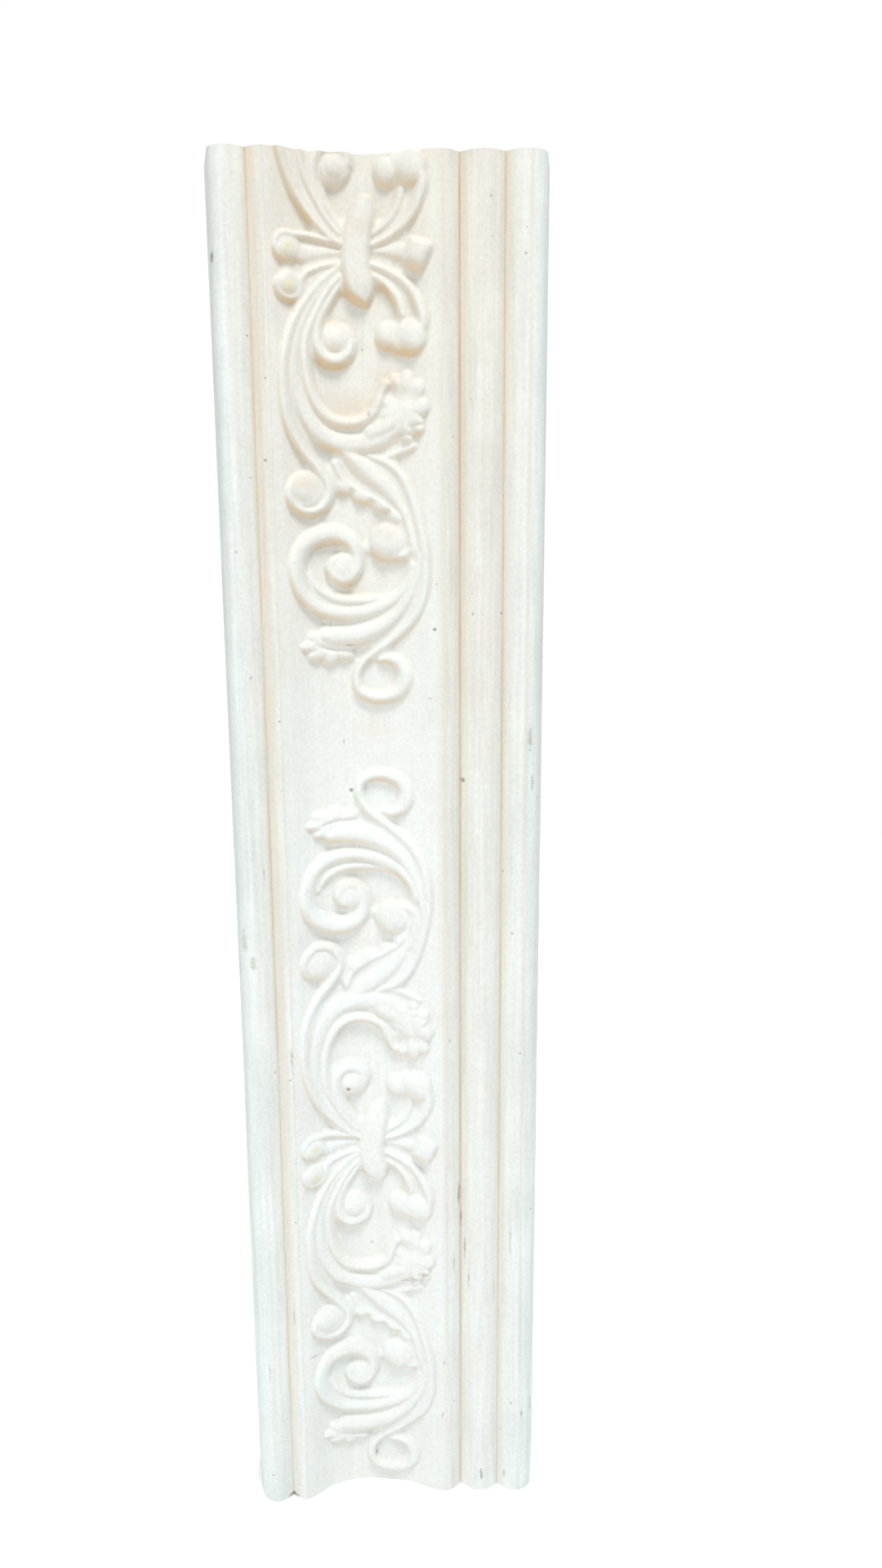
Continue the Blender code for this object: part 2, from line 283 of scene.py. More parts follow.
# Dark marks, painted shade in air holes and chips and grime in streaks: across, up, half width, half height
# and strength
MARKS = (
    (26.7, 155.8, 1.5, 1.5, 0.8), (-25.7, -116.4, 1.6, 1.6, 0.85), (-13.8, -222, 1.3, 1.3, 0.6),
    (-9.9, 300.5, 0.9, 0.9, 0.5), (27.7, 180, 1.1, 1.1, 0.5), (47.2, 164, 1.2, 1.4, 0.55),
    (63, 164, 1.1, 1.4, 0.5), (42, 71, 1.6, 1.8, 0.75), (-20.5, 65, 1.5, 1.6, 0.7),
    (-73, 131, 1.0, 1.6, 0.5), (-24, 93, 0.8, 2.0, 0.5), (53.4, -382, 1.2, 6.5, 0.6),
    (39.6, -186, 1.1, 9, 0.6), (41.0, -202, 0.9, 7, 0.5), (43.2, -222, 0.8, 12, 0.45),
    (45.4, -242, 0.7, 8, 0.4), (36.4, -232, 0.8, 10, 0.35), (70.5, -214, 0.7, 12, 0.4),
    # The first mark below, at the left groove's bottom end, is painted shadow where the groove meets the end
    (-66, -392.4, 4.5, 1.8, 0.8), (68, -383, 0.8, 5, 0.4), (78.6, -338, 0.9, 5, 0.45),
    (79, 96, 1.6, 10, 0.42), (80.5, 70, 1.2, 7, 0.35), (-78, -32, 2.6, 7, 0.35),
    (-82.6, -20, 2.2, 9, 0.3), (-84.6, 343, 1.2, 3.6, 0.75), (18, -238, 3.4, 2.6, 0.4),
    (12, -243, 3.0, 1.4, 0.35), (-61, 244, 1.6, 1.2, 0.6), (-7, 268, 1.0, 2.4, 0.35),
    (24, 118, 2.0, 1.2, 0.3), (-20, 147, 5, 1.0, 0.4), (-58, -92, 1.0, 9, 0.35),
    (-50, -293, 4.5, 1.1, 0.4), (8, -245.5, 6, 1.3, 0.35), (-13, -373, 0.9, 2.6, 0.6),
    (-88, -42, 0.9, 9, 0.35), (-78, -300, 0.8, 12, 0.3), (84.5, -334, 0.8, 9, 0.35),
    (-62, -262, 0.7, 9, 0.35), (30, -300, 1.0, 3, 0.35), (29, -338, 0.9, 4, 0.35),
    (86, 118, 0.9, 12, 0.35), (61, -250, 0.6, 14, 0.3), (-70, 20, 0.7, 9, 0.35),
    (70, -18, 1.0, 1.4, 0.5), (34, -84, 0.8, 1.6, 0.4), (72, -330, 1.0, 1.6, 0.4),
)


def catmull_rom(points, spacing):
    """Points along a smooth curve through rows of numbers, the first two of which are places."""
    padded = [points[0], *points, points[-1]]
    rows = []
    for before, start, end, after in zip(padded, padded[1:], padded[2:], padded[3:]):
        steps = max(1, round(hypot(end[0] - start[0], end[1] - start[1]) / spacing))
        for step in range(steps):
            t = step / steps
            row = []
            for a, b, c, d in zip(before, start, end, after):
                square = 2 * a - 5 * b + 4 * c - d
                cube = 3 * b - a - 3 * c + d
                row.append(0.5 * (2 * b + (c - a) * t + square * t**2 + cube * t**3))
            rows.append(tuple(row))
    rows.append(tuple(points[-1]))
    return rows


def swell(crest, groove):
    """Points of one side of a round, from its crest to just before its groove."""
    points = []
    for step in range(MEMBER_STEPS):
        t = step / MEMBER_STEPS
        depth = crest[1] + (groove[1] - crest[1]) * t**ROUND_FULLNESS
        points.append((crest[0] + (groove[0] - crest[0]) * t, depth))
    return points


def quarter_round(crest, edge):
    """Points of the outer quarter of a round, from its crest to its edge."""
    points = []
    for step in range(MEMBER_STEPS + 1):
        angle = 0.5 * pi * step / MEMBER_STEPS
        across = crest[0] + (edge[0] - crest[0]) * sin(angle)
        points.append((across, crest[1] + (edge[1] - crest[1]) * (1 - cos(angle))))
    return points


def face_outline():
    """The moulded face from left to right, as (across, depth) in millimetres from its left edge."""
    left_groove = (LEFT_ROUND_WIDTH, LEFT_GROOVE_DEPTH)
    left_arris = (left_groove[0] + LEFT_ARRIS_WIDTH, LEFT_ARRIS_DEPTH)
    right_arris = (left_arris[0] + COVE_WIDTH, RIGHT_ARRIS_DEPTH)
    inner_groove = (right_arris[0] + RIGHT_ARRIS_WIDTH, INNER_GROOVE_DEPTH)
    bead = (inner_groove[0] + BEAD_WIDTH * BEAD_CREST, BEAD_DEPTH)
    outer_groove = (inner_groove[0] + BEAD_WIDTH, OUTER_GROOVE_DEPTH)
    left_crest = (LEFT_ROUND_WIDTH * LEFT_CREST, 0.0)
    right_crest = (outer_groove[0] + RIGHT_ROUND_WIDTH * RIGHT_CREST, 0.0)
    right_edge = (outer_groove[0] + RIGHT_ROUND_WIDTH, ROUND_EDGE_DEPTH)
    cove = [left_arris]
    cove += [(left_arris[0] + COVE_WIDTH * a, COVE_DEPTH * d) for a, d in COVE_SHAPE]
    cove += [right_arris]
    outline = quarter_round(left_crest, (0.0, ROUND_EDGE_DEPTH))[::-1]
    outline += swell(left_crest, left_groove)[1:] + [left_groove]
    outline += swell(left_arris, left_groove)[:0:-1]
    outline += catmull_rom(cove, COVE_SPACING)
    outline += swell(right_arris, inner_groove)[1:] + [inner_groove]
    outline += swell(bead, inner_groove)[:0:-1]
    outline += swell(bead, outer_groove) + [outer_groove]
    outline += swell(right_crest, outer_groove)[:0:-1]
    outline += quarter_round(right_crest, right_edge)
    return outline


FACE = face_outline()
FACE_MIDDLE = 0.5 * (FACE[0][0] + FACE[-1][0])
COVE_MIDDLE = LEFT_ROUND_WIDTH + LEFT_ARRIS_WIDTH + 0.5 * COVE_WIDTH - FACE_MIDDLE

# Lines of painted shade, with some dust, in the grooves: place across the face, half width and strength
LEFT_GROOVE = LEFT_ROUND_WIDTH - FACE_MIDDLE
INNER_GROOVE = LEFT_GROOVE + LEFT_ARRIS_WIDTH + COVE_WIDTH + RIGHT_ARRIS_WIDTH
OUTER_GROOVE = INNER_GROOVE + BEAD_WIDTH
GROOVE_SHADE_LINES = (
    (LEFT_GROOVE, 1.1, 0.5), (LEFT_GROOVE + 2.4, 5.2, 0.38), (LEFT_GROOVE - 9, 2.2, 0.12),
    (INNER_GROOVE, 1.0, 0.85), (INNER_GROOVE + 1.5, 5.0, 0.25), (OUTER_GROOVE, 0.9, 0.7),
    (OUTER_GROOVE + 1, 4.5, 0.25), (OUTER_GROOVE + 13, 2.0, 0.25), (INNER_GROOVE - 9, 3.0, 0.16),
)


def section(thickness):
    """The closed cross section as (x, y) in metres, with the flat back on y = 0."""
    wide = FACE[-1][0] - FACE_MIDDLE + SIDE_FLARE
    front = [((x - FACE_MIDDLE) * MM, d * MM - thickness) for x, d in FACE]
    side = [front[-1], (wide * MM, -BACK_BEVEL * MM)]
    flank = [tuple(a + (b - a) * t for a, b in zip(*side)) for t in (0.25, 0.5, 0.75, 1.0)]
    back = flank + [((wide - BACK_BEVEL) * MM, 0.0)]
    return front + back + [(-x, y) for x, y in reversed(back)]


def curl(centre, start_radii, end_radii, start, sweep, start_half, end_half):
    """Rows of a curl about its centre. Angles are in degrees, from across and turning towards along."""
    mean = 0.25 * (sum(start_radii) + sum(end_radii))
    steps = max(4, round(abs(radians(sweep)) * mean / RING_SPACING))
    rows = []
    for step in range(1, steps + 1):
        t = step / steps
        angle = radians(start + sweep * t)
        across = centre[0] + (start_radii[0] + (end_radii[0] - start_radii[0]) * t) * cos(angle)
        along = centre[1] + (start_radii[1] + (end_radii[1] - start_radii[1]) * t) * sin(angle)
        rows.append((across, along, start_half + (end_half - start_half) * t))
    return rows


class Relief:
    """Heights of the ornament over one repeat, in drawn millimetres, with a knot at its middle."""

    def __init__(self, scale):
        reach = 0.5 * COVE_WIDTH / scale
        middle = COVE_MIDDLE / scale
        self.across = np.arange(middle - reach, middle + reach + PITCH, PITCH)
        rows = 2 * round(REACH / PITCH)
        self.along = (np.arange(rows) + 0.5) * DRAWN_REPEAT / rows - REACH
        self.height = np.zeros((len(self.along), len(self.across)))

    def window(self, low, high):
        """The rows between two places along, as a slice, with their places across and along."""
        first, last = np.searchsorted(self.along, (low, high))
        return slice(first, last), self.across[None, :], self.along[first:last, None]

    def raise_to(self, window, height):
        self.height[window] = np.maximum(self.height[window], height)

    def lower_by(self, window, cut):
        self.height[window] = np.maximum(self.height[window] - cut, 0.0)

    def nearest(self, rows):
        """A window round a line, and in it how far off the line each place is and the half width there."""
        lowest = min(row[1] - row[2] for row in rows)
        highest = max(row[1] + row[2] for row in rows)
        window, across, along = self.window(lowest, highest)
        distance = np.full((along.shape[0], across.shape[1]), np.inf)
        half = np.ones_like(distance)
        for (a0, b0, r0), (a1, b1, r1) in pairwise(rows):
            wide = max(r0, r1)
            low, high = np.searchsorted(along[:, 0], (min(b0, b1) - wide, max(b0, b1) + wide))
            step_a, step_b = a1 - a0, b1 - b0
            past_a, past_b = across - a0, along[low:high] - b0
            t = (past_a * step_a + past_b * step_b) / (step_a**2 + step_b**2)
            t = np.clip(t, 0.0, 1.0)
            radius = r0 + (r1 - r0) * t
            off = np.hypot(past_a - t * step_a, past_b - t * step_b)
            closer = off / radius < distance[low:high] / half[low:high]
            distance[low:high] = np.where(closer, off, distance[low:high])
            half[low:high] = np.where(closer, radius, half[low:high])
        return window, distance, half

    def stem(self, points, height, fullness=CORD_FULLNESS, curl_rows=()):
        """A strand through rows of (across, along, half width). Narrow stretches of it stand lower."""
        rows = catmull_rom(points, RING_SPACING) + list(curl_rows)
        window, distance, half = self.nearest(rows)
        widest = max(row[2] for row in rows)
        width = np.minimum(half / widest, 1.0)
        crest = height * (NARROW_HEIGHT + (1.0 - NARROW_HEIGHT) * width**NARROW_POWER)
        self.raise_to(window, crest * (1.0 - np.minimum(distance / half, 1.0) ** fullness))

    def groove(self, points, depth):
        """A groove of a depth along rows of (across, along, half width), with soft sides."""
        window, distance, half = self.nearest(catmull_rom(points, RING_SPACING))
        share = np.maximum(1.0 - distance / half, 0.0)
        self.lower_by(window, depth * share * share * (3.0 - 2.0 * share))

    def boss(self, across, along, half_across, half_along, height, fullness=2.0):
        """A rounded boss. A higher fullness makes its top flatter."""
        window, a, b = self.window(along - half_along, along + half_along)
        share = np.hypot((a - across) / half_across, (b - along) / half_along)
        self.raise_to(window, height * (1.0 - np.minimum(share, 1.0) ** fullness) ** 0.5)

    def shell(self, across, along, half_across, half_along, lobes, height):
        """A boss with a scalloped rim and flutes that run in from it."""
        reach = 1.1 * half_along
        window, a, b = self.window(along - reach, along + reach)
        side, end = (a - across) / half_across, (b - along) / half_along
        lobe = np.abs(np.cos(0.5 * lobes * np.arctan2(end, side)))
        share = np.hypot(side, end) / (RIM_NOTCH + RIM_LOBE * lobe)
        flute = 1.0 - FLUTE_DEPTH * (1.0 - lobe) ** 1.5 * np.clip(2.2 * share - 0.9, 0.0, 1.0)
        self.raise_to(window, height * flute * (1.0 - np.minimum(share, 1.0) ** 5) ** 0.6)

    def hollow(self, across, along, half_across, half_along, depth):
        """A soft round hollow."""
        window, a, b = self.window(along - half_along, along + half_along)
        share = ((a - across) / half_across) ** 2 + ((b - along) / half_along) ** 2
        self.lower_by(window, depth * np.maximum(1.0 - share, 0.0) ** 1.5)

    def block(self, across, along, half_across, half_along, height, turn):
        """A square bud with worn corners, turned by some degrees, lower towards its foot."""
        reach = half_across + half_along
        window, a, b = self.window(along - reach, along + reach)
        c, s = cos(radians(turn)), sin(radians(turn))
        side = ((a - across) * c + (b - along) * s) / half_across
        end = ((b - along) * c - (a - across) * s) / half_along
        inside = np.minimum(np.abs(side) ** BUD_FULLNESS + np.abs(end) ** BUD_FULLNESS, 1.0)
        slope = 1.0 - BUD_FOOT_FALL * np.maximum(end - BUD_FALL_FROM, 0.0)
        slope -= BUD_SIDE_FALL * np.maximum(side, 0.0)
        self.raise_to(window, height * (1.0 - inside) * slope)

    def mirror(self):
        """Copies the half below the knot over the half above it."""
        middle = len(self.along) // 2
        self.height[:middle] = self.height[middle:][::-1]


def blurred(values, sigma):
    """The grid softened by a bell curve of that width in millimetres, wrapped round along the repeat."""
    reach = max(1, ceil(3 * sigma / PITCH))
    steps = np.arange(-reach, reach + 1)
    weights = np.exp(-0.5 * (steps * PITCH / sigma) ** 2)
    weights /= weights.sum()
    padded = np.pad(values, ((reach, reach), (0, 0)), mode="wrap")
    values = sum(w * padded[i:i + len(values)] for i, w in enumerate(weights))
    padded = np.pad(values, ((0, 0), (reach, reach)), mode="edge")
    return sum(w * padded[:, i:i + values.shape[1]] for i, w in enumerate(weights))


def spread(values, reach, pick):
    """Each place takes the highest or lowest value within a square of that reach, in grid steps."""
    for axis, mode in ((0, "wrap"), (1, "edge")):
        widths = [(reach, reach) if k == axis else (0, 0) for k in (0, 1)]
        padded = np.pad(values, widths, mode=mode)
        size = values.shape[axis]
        values = pick.reduce([np.take(padded, range(i, i + size), axis) for i in range(2 * reach + 1)])
    return values


def right_stems(relief):
    """The two stems that end in the double ball."""
    outer = [(-4.6, 4.5, 2.2), (5, 8.8, 2.8), (13.2, 15, 3.3), (18.3, 23, 3.6), (21.3, 32, 3.6)]
    relief.stem(outer + [(21, 38, 2.6)], 5.4)
    relief.stem([(-4.6, 9.5, 2.2), (3, 14.6, 2.8), (8.6, 22, 3.2), (11, 30, 2.6)], 4.8)
    relief.boss(3.4, 39.5, 6.4, 7.4, 5.4)
    relief.boss(15, 40.5, 8.6, 9.4, 7.2)
    relief.boss(9.6, 43, 5.5, 6, 5.0)


def left_bundle(relief):
    """The strands that leave the knot together and part into curls and the open flower."""
    bed = [(-20.7, 7.6, 3.2), (-31.5, 16.2, 4.5), (-39.5, 28.3, 6), (-44.5, 41.5, 6.6), (-46, 54.7, 7)]
    relief.stem(bed + [(-44, 68, 7), (-38.5, 79, 7.5), (-30, 87, 8)], 2.6, 4.0)
    outer = [(-20.7, 5.1, 1.8), (-32.4, 14.7, 2.5), (-42.3, 28.3, 2.8), (-48, 42.5, 3), (-50.8, 57.7, 3.1)]
    outer += [(-50.1, 77.9, 3.1), (-46.5, 90, 3.2), (-41, 99, 3.3), (-35.5, 105.5, 3.4)]
    relief.stem(outer, 5.6, 2.3, curl((-40.2, 119.3), (11.8, 11.8), (8.6, 8.6), -55, 250, 3.5, 3.2))
    relief.boss(-40.6, 119, 11.4, 11.4, 5.2, 3.0)
    relief.boss(-41.4, 117.6, 8.6, 8.8, 6.9, 2.2)
    relief.groove([(-32.4, 110, 0.9), (-31.8, 118, 1.4), (-35.6, 126, 1.4), (-43, 127.4, 0.9)], 1.3)
    middle = [(-20.7, 7.6, 1.8), (-30.4, 16.2, 2.4), (-38.5, 28.3, 2.8), (-43.7, 41.5, 3.2)]
    middle += [(-45.7, 54.7, 3.5), (-44.2, 66.8, 4.4), (-40, 79.4, 5.3), (-32.9, 88.6, 5.9)]
    middle += [(-22.8, 93.4, 6.2), (-10.6, 94, 6.4)]
    relief.stem(middle + [(0.5, 91, 5.8), (9, 86, 5)], 5.6, 3.0)
    inner = [(-20.7, 10.1, 1.8), (-27.3, 17.2, 2.4), (-34.4, 29.4, 2.8), (-39, 40.5, 3), (-40, 50.6, 3.1)]
    inner += [(-38.6, 64, 3.4), (-34, 75.2, 3.6), (-26.8, 81.8, 3.7), (-18, 83.6, 3.7), (-10, 82, 3.9)]
    relief.stem(inner + [(-4.4, 78, 3.8), (-1.4, 71.4, 3.8), (2.4, 64.6, 3.8)], 6.2)
    eye = [(-19.7, 12.1, 1.8), (-25.6, 20.7, 2.6), (-30.8, 29, 3.2), (-33.4, 37, 3.6)]
    eye += [(-32.6, 45.6, 4.4), (-28.4, 50.8, 4.6), (-22.4, 51.4, 4.4), (-17.2, 47.6, 3.8)]
    relief.stem(eye + [(-15.6, 42.6, 2.6)], 5.6)
    relief.boss(-23.6, 42.6, 10, 10.4, 5.2, 2.6)
    relief.boss(-23, 41.4, 6.8, 7, 6.6)
    relief.groove([(-29.6, 35, 0.9), (-30.4, 42, 1.4), (-27, 47.4, 1.4), (-21.6, 47.6, 0.9)], 1.2)


def flower(relief):
    """The open flower at the end of the bundle: round petals about a hollow, with a lip below."""
    relief.shell(11.4, 76, 13.2, 19.2, 9, 6.2)
    relief.hollow(6, 69.5, 7.4, 7.4, 3.4)
    relief.hollow(15.5, 71, 5, 6, 2.0)
    relief.stem([(-6, 89, 5.8), (2, 85.4, 6.2), (8.6, 80.6, 6.2), (12.6, 76, 4.6)], 6.8, 2.2)
    relief.groove([(14, 86, 0.8), (19, 85, 1.3), (25, 85.4, 0.9)], 1.8)
    relief.groove([(4, 92.4, 0.8), (11, 89.6, 1.3), (17, 90.6, 0.9)], 1.8)
    relief.stem([(-9, 101.4, 1.4), (2, 100.8, 2.2), (11, 97.8, 2.4), (17, 95.5, 1.6)], 3.2)


def pod_leaf(relief):
    """The leaf that leaves the flower on the way to the lower curls, with its waved lower edge."""
    for across, along, half_across, half_along in (
        (-20.5, 115.2, 5.4, 5.6), (-10.8, 120.3, 6.4, 5.4), (-0.5, 125.4, 5.8, 4.8), (6.8, 131.5, 4.6, 5),
    ):
        relief.boss(across, along, half_across, half_along, 4.2, 2.4)
    rib = [(-25.5, 104, 3), (-21, 112, 3.4), (-12, 118, 3.4), (-2, 123.6, 3.2)]
    relief.stem(rib + [(7.5, 130.5, 2.6)], 4.4)
    vein = [(-24, 103, 0.8), (-20, 111, 1.5), (-12, 117, 1.7), (-3, 121.6, 1.7), (5, 127, 1.5)]
    relief.groove(vein + [(10, 133, 0.8)], 3.0)
    leaf = [(-21, 97.5, 3.6), (-14.6, 102.6, 6), (-7.4, 109, 7.2), (0, 115.4, 6.4), (5.6, 122, 4.8)]
    relief.stem(leaf + [(9.6, 129, 2.8), (11.4, 134, 1.4)], 5.4, 2.2)


def lower_curls(relief):
    """The long right arc, its forked ball, the large spiral, and the tail that curls at the mirror line."""
    relief.stem([(10.6, 128, 2.2), (13.6, 139, 2.8), (15, 147, 2.8), (15.6, 152.4, 1.2)], 4.8)
    relief.boss(1.8, 146, 10, 10.4, 7.2)
    relief.stem([(6, 152.6, 4), (11.4, 152, 3.4), (14.8, 148, 2.2)], 4.6)
    arc = [(-7.6, 100.2, 1.8), (2.5, 104.4, 2.8), (9.8, 111.6, 3.1), (14.2, 121, 3.3), (17.3, 131, 3.4)]
    arc += [(20, 142, 3.4), (21.6, 153.8, 3.4), (21.4, 168, 3.4), (17.8, 181.2, 3.4), (11.4, 190.8, 3.3)]
    arc += [(2, 199.6, 3), (-6.5, 205.6, 2.7), (-12.6, 211, 2.6), (-16.2, 218.4, 2.8), (-15.2, 226, 3.1)]
    arc += [(-9, 230.4, 3.5), (0, 230.6, 3.8), (7.6, 226.8, 4.4), (10.4, 219.4, 4.8), (8, 212.2, 4.4)]
    relief.stem(arc + [(2, 208.8, 3.2), (-3.4, 210, 1.6)], 5.2)
    spiral = [(15.4, 158, 2.2), (12.4, 167.4, 3.2), (5, 176.2, 4.2), (-5, 181.4, 4.8), (-16, 184, 5)]
    spiral += [(-27, 183.6, 4.8), (-36.5, 180.4, 4.6), (-43.8, 173, 4.4), (-47, 163, 4.4), (-46, 153, 4.8)]
    spiral += [(-41, 145.6, 5.5), (-33, 141.6, 6), (-24.5, 141.6, 5.7), (-17.4, 146, 5), (-14.6, 153.5, 4.4)]
    spiral += [(-16, 161, 4.3), (-21, 165.4, 4.3), (-26.8, 164, 4), (-29.4, 159, 3.4), (-27, 154.6, 2.4)]
    relief.stem(spiral + [(-22.4, 153.2, 1.2)], 6.4, 2.6)
    relief.boss(-21.6, 159.4, 9, 9, 6.0)
    inner = [(6, 173, 2), (-2, 176.4, 3), (-14, 177.4, 3.6), (-27, 176, 3.6), (-36.4, 170.4, 2.6)]
    relief.stem(inner + [(-40.4, 162, 0.6)], 4.4, 2.2)
    crease = [(-40, 170, 1.0), (-33, 177.4, 1.5), (-20, 180.6, 1.6), (-6, 177.6, 1.5)]
    relief.groove(crease + [(6, 169.5, 1.0)], 0.8)


def lower_pod(relief):
    """The fat pod under the spiral, with round lobes at its end."""
    relief.shell(-30, 202, 16.4, 10.4, 8, 4.6)
    pod = [(18.4, 152, 1.4), (17.2, 163, 2.4), (13, 174, 3.6), (5.4, 184.6, 5), (-5, 192.2, 6.4)]
    relief.stem(pod + [(-16, 196, 7), (-27, 196.8, 6.6), (-32.5, 196, 5.4)], 7.0, 2.4)
    crease = [(-38, 201.4, 0.9), (-28, 204.2, 1.5), (-14, 203.4, 1.5), (-3, 198.6, 1.3)]
    relief.groove(crease + [(5, 192, 0.8)], 2.2)


def knot_group(relief):
    """The strap over the knot, the two small eyed curls, the darts and the square bud."""
    relief.stem([(-20, -1.5, 1.8), (-30, -1.2, 3.6), (-40, 0, 5.6)], 3.6, 3.0)
    relief.stem([(-5, -2, 1.8), (3, -1.8, 3.4), (9, -1.5, 5.2), (14, -1, 5)], 3.8, 3.0)
    upper = [(-20, -5.6, 1.8), (-30, -7.4, 2.2), (-38, -8.8, 2.4)]
    relief.stem(upper, 4.6, 2.3, curl((-47, -2.2), (6.4, 7), (5.6, 6), -55, -230, 2.3, 1.8))
    relief.boss(-46.8, -1.6, 6.4, 6.8, 6.4)
    lower = [(-20, 3.6, 1.8), (-30, 5.6, 2.2), (-38, 9, 2.4)]
    relief.stem(lower, 4.6, 2.3, curl((-47.2, 15.6), (6.6, 7), (5.6, 6), -35, 230, 2.4, 1.8))
    relief.boss(-47, 15, 6.2, 6.6, 6.4)
    relief.block(18.6, 0.6, 7, 8.4, 8.0, 22)
    strap = [(-7.6, -25.4, 3.8), (-9.2, -19, 7.2), (-11.4, -10, 8), (-12.8, 0, 8.2), (-12.4, 8, 8.4)]
    relief.stem(strap + [(-10.8, 14.5, 8.2), (-9, 19, 5.2), (-7.8, 23.8, 1.0)], 7.6, 5.5)


def ornament(scale):
    """The whole relief over one repeat."""
    relief = Relief(scale)
    right_stems(relief)
    left_bundle(relief)
    flower(relief)
    pod_leaf(relief)
    lower_curls(relief)
    lower_pod(relief)
    relief.mirror()
    knot_group(relief)
    reach = round(GAP_RADIUS / PITCH)
    filled = spread(spread(relief.height, reach, np.maximum), reach, np.minimum)
    relief.height = blurred(np.maximum(relief.height, GAP_SHARE * filled), SOFTENING)
    return relief


def sampled(grid, relief, across, along):
    """Values of a grid at places across the cove and along the repeat, wrapped round."""
    column = (across - relief.across[0]) / PITCH
    row = ((along + REACH) % DRAWN_REPEAT) * grid.shape[0] / DRAWN_REPEAT - 0.5
    row = row % grid.shape[0]
    left = np.clip(column.astype(int), 0, grid.shape[1] - 2)
    top = row.astype(int) % grid.shape[0]
    below = (top + 1) % grid.shape[0]
    u = np.clip(column - left, 0.0, 1.0)
    v = row - np.floor(row)
    upper = grid[top, left] * (1 - u) + grid[top, left + 1] * u
    lower = grid[below, left] * (1 - u) + grid[below, left + 1] * u
    return upper * (1 - v) + lower * v


def places_of(mesh):
    """The mesh's points as rows of x, y and z in metres."""
    places = np.empty(len(mesh.vertices) * 3)
    mesh.vertices.foreach_get("co", places)
    return places.reshape(-1, 3)


def drawn_out(outline, length):
    """The section drawn out along the length in even rows, with its two ends closed."""
    work = bmesh.new()
    ring = [work.verts.new((x, y, -0.5 * length)) for x, y in outline]
    edges = [work.edges.new((a, b)) for a, b in pairwise(ring + ring[:1])]
    made = bmesh.ops.extrude_edge_only(work, edges=edges)["geom"]
    top = [item for item in made if isinstance(item, bmesh.types.BMVert)]
    bmesh.ops.translate(work, verts=top, vec=(0, 0, length))
    lines = [edge for edge in work.edges if abs(edge.verts[0].co.z - edge.verts[1].co.z) > 0.5 * length]
    bmesh.ops.subdivide_edges(work, edges=lines, cuts=ceil(length / MM / ROW_SPACING), use_grid_fill=True)
    ends = [edge for edge in work.edges if edge.is_boundary]
    bmesh.ops.holes_fill(work, edges=ends)
    bmesh.ops.recalc_face_normals(work, faces=work.faces)
    mesh = bpy.data.meshes.new("moulding")
    work.to_mesh(mesh)
    work.free()
    return mesh


def node(tree, kind, inputs, **settings):
    """Adds one shader node. Its inputs, by name or number, are values or other nodes' outputs."""
    made = tree.nodes.new(kind)
    for name, value in settings.items():
        setattr(made, name, value)
    for key, value in inputs.items():
        if isinstance(value, bpy.types.NodeSocket):
            tree.links.new(value, made.inputs[key])
        else:
            made.inputs[key].default_value = value
    return made


def maths(tree, operation, first, second=0.0, clamp=False):
    """One operation on one or two numbers. Clamped, it stays between 0 and 1."""
    inputs = {0: first, 1: second}
    return node(tree, "ShaderNodeMath", inputs, operation=operation, use_clamp=clamp).outputs[0]


def product(tree, first, second):
    return maths(tree, "MULTIPLY", first, second)


def scaled(tree, value, factor):
    """A value times a factor, kept between 0 and 1."""
    return maths(tree, "MULTIPLY", value, factor, clamp=True)


def ranged(tree, value, source, target, kind="LINEAR"):
    """A value moved from the source range to the target range and kept within it."""
    inputs = {"Value": value, "From Min": source[0], "From Max": source[1]}
    inputs |= {"To Min": target[0], "To Max": target[1]}
    return node(tree, "ShaderNodeMapRange", inputs, interpolation_type=kind).outputs[0]


def noise(tree, place, size, detail, roughness):
    """A noise pattern. The size of its coarsest patches is in millimetres."""
    inputs = {"Vector": place, "Scale": 1 / (size * MM), "Detail": detail, "Roughness": roughness}
    return node(tree, "ShaderNodeTexNoise", inputs).outputs["Fac"]


def attribute(tree, name):
    return node(tree, "ShaderNodeAttribute", {}, attribute_name=name).outputs["Fac"]


def mixed(tree, share, first, second, blend="MIX"):
    """A colour between two: none of the second at a share of 0, all of it at 1."""
    inputs = {0: share, 6: first, 7: second}
    return node(tree, "ShaderNodeMix", inputs, data_type="RGBA", blend_type=blend).outputs[2]


def tinted(tree, colour, share, strength, tint):
    """The colour with a tint over it, where the share is above 0 and as strong as is asked."""
    return mixed(tree, scaled(tree, share, strength), colour, (*tint, 1.0))


def band(tree, x, at, half):
    """1 on a line along the length and 0 beyond half a width from it, in millimetres."""
    away = maths(tree, "ABSOLUTE", maths(tree, "SUBTRACT", x, at * MM))
    return ranged(tree, away, (0.0, half * MM), (1.0, 0.0), "SMOOTHSTEP")


def away_from(tree, place, middle, halves):
    """How far a place is from a middle on the face, in shares of the half sizes, all in millimetres."""
    size = [1 / (half * MM) for half in halves]
    shift = (-middle[0] * MM * size[0], 0.0, -middle[1] * MM * size[1])
    inputs = {"Vector": place, "Location": shift, "Scale": (size[0], 0.0, size[1])}
    moved = node(tree, "ShaderNodeMapping", inputs).outputs[0]
    return node(tree, "ShaderNodeVectorMath", {0: moved}, operation="LENGTH").outputs["Value"]


def spot(tree, place, wander, front, middle, halves):
    """1 inside an uneven spot on the face and 0 outside it. Its middle and half sizes are in millimetres."""
    away = maths(tree, "ADD", away_from(tree, place, middle, halves), scaled(tree, wander, SPOT_WANDER))
    return product(tree, ranged(tree, away, SPOT_FADE, (1.0, 0.0), "SMOOTHSTEP"), front)


